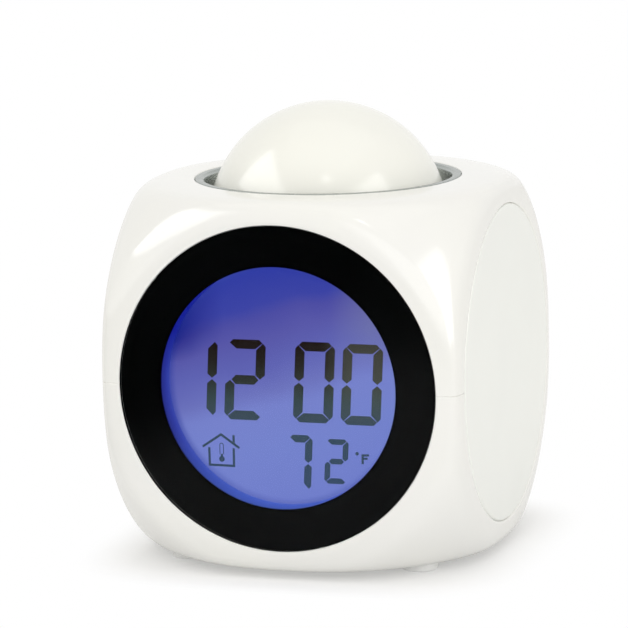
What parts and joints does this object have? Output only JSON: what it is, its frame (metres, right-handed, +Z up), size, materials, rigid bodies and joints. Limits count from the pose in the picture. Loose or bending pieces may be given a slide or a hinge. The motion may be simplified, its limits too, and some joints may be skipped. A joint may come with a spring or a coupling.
{
  "type": "talking alarm clock",
  "caption": "Rounded cube alarm clock with a round backlit display behind a dark-bordered window and a dome on top that is pressed to make it speak.",
  "frame": {"origin": "middle of the base, on the surface that the feet stand on", "axes": "+Z up through the dome, -Y out of the display, +X to the display's right"},
  "size_m": [0.08, 0.08, 0.0974],
  "materials": {
    "shell_white": "gloss",
    "disc_white": "gloss",
    "rear_white": "satin",
    "window_clear": "polished",
    "border_black": "gloss",
    "frame_white": "satin",
    "display_blue": "satin",
    "guide_clear": "frosted",
    "led_blue": "satin",
    "contact_rubber": "matte",
    "board_green": "satin",
    "chip_black": "matte",
    "steel": "bright",
    "button_grey": "satin",
    "wire_cover": "satin",
    "basket_steel": "satin",
    "cone_paper": "matte",
    "ring_silver": "satin",
    "cell_jacket": "satin",
    "foot_rubber": "matte"
  },
  "bodies": {
    "case": {"upper_shell": "shell_white", "lower_shell": "shell_white", "side_disc_left": "disc_white", "side_disc_right": "disc_white", "rear_panel": "rear_white", "front_window": "window_clear", "bezel_mask": "border_black", "lcd_frame": "frame_white", "lcd_panel": "display_blue", "light_guide": "guide_clear", "backlight_leds": "led_blue", "zebra_strip": "contact_rubber", "main_board": "board_green", "button_board": "board_green", "talk_board": "board_green", "board_components": "chip_black", "button_switches": "chip_black", "talk_switch": "chip_black", "lcd_screws": "steel", "board_screws": "steel", "rear_screws": "steel", "button_board_screws": "steel", "talk_screws": "steel", "case_screws": "steel", "talk_spring": "steel", "battery_springs": "steel", "battery_contacts": "steel", "button_leads": "wire_cover", "speaker_leads": "wire_cover", "talk_leads": "wire_cover", "battery_leads": "wire_cover", "speaker_basket": "basket_steel", "speaker_magnet": "basket_steel", "speaker_cone": "cone_paper", "trim_ring": "ring_silver", "battery_cells": "cell_jacket", "rubber_feet": "foot_rubber"},
    "dome": {"talk_dome": "shell_white", "dome_plate": "frame_white"},
    "time_key": {"time_button": "button_grey"},
    "alarm_key": {"alarm_button": "button_grey"},
    "up_key": {"up_button": "button_grey"},
    "down_key": {"down_button": "button_grey"},
    "unit_key": {"unit_button": "button_grey"},
    "door": {"battery_door": "shell_white"}
  },
  "joints": [
    {"name": "talk_press", "type": "slide", "parent": "case", "child": "dome", "axis": [0, 0, -1], "range_m": [0, 0.002], "stiffness_N_per_m": 600, "springref_m": -0.001, "deforming": ["talk_spring"]},
    {"name": "time_press", "type": "slide", "parent": "case", "child": "time_key", "axis": [0, -1, 0], "range_m": [0, 0.0009], "stiffness_N_per_m": 800, "springref_m": -0.0003},
    {"name": "alarm_press", "type": "slide", "parent": "case", "child": "alarm_key", "axis": [0, -1, 0], "range_m": [0, 0.0009], "stiffness_N_per_m": 800, "springref_m": -0.0003},
    {"name": "up_press", "type": "slide", "parent": "case", "child": "up_key", "axis": [0, -1, 0], "range_m": [0, 0.0009], "stiffness_N_per_m": 800, "springref_m": -0.0003},
    {"name": "down_press", "type": "slide", "parent": "case", "child": "down_key", "axis": [0, -1, 0], "range_m": [0, 0.0009], "stiffness_N_per_m": 800, "springref_m": -0.0003},
    {"name": "unit_press", "type": "slide", "parent": "case", "child": "unit_key", "axis": [0, -1, 0], "range_m": [0, 0.0009], "stiffness_N_per_m": 800, "springref_m": -0.0003},
    {"name": "door_tilt", "type": "hinge", "parent": "case", "child": "door", "pos_m": [0, 0.01815, 0.0012], "axis": [1, 0, 0], "range_deg": [0, 80]}
  ]
}
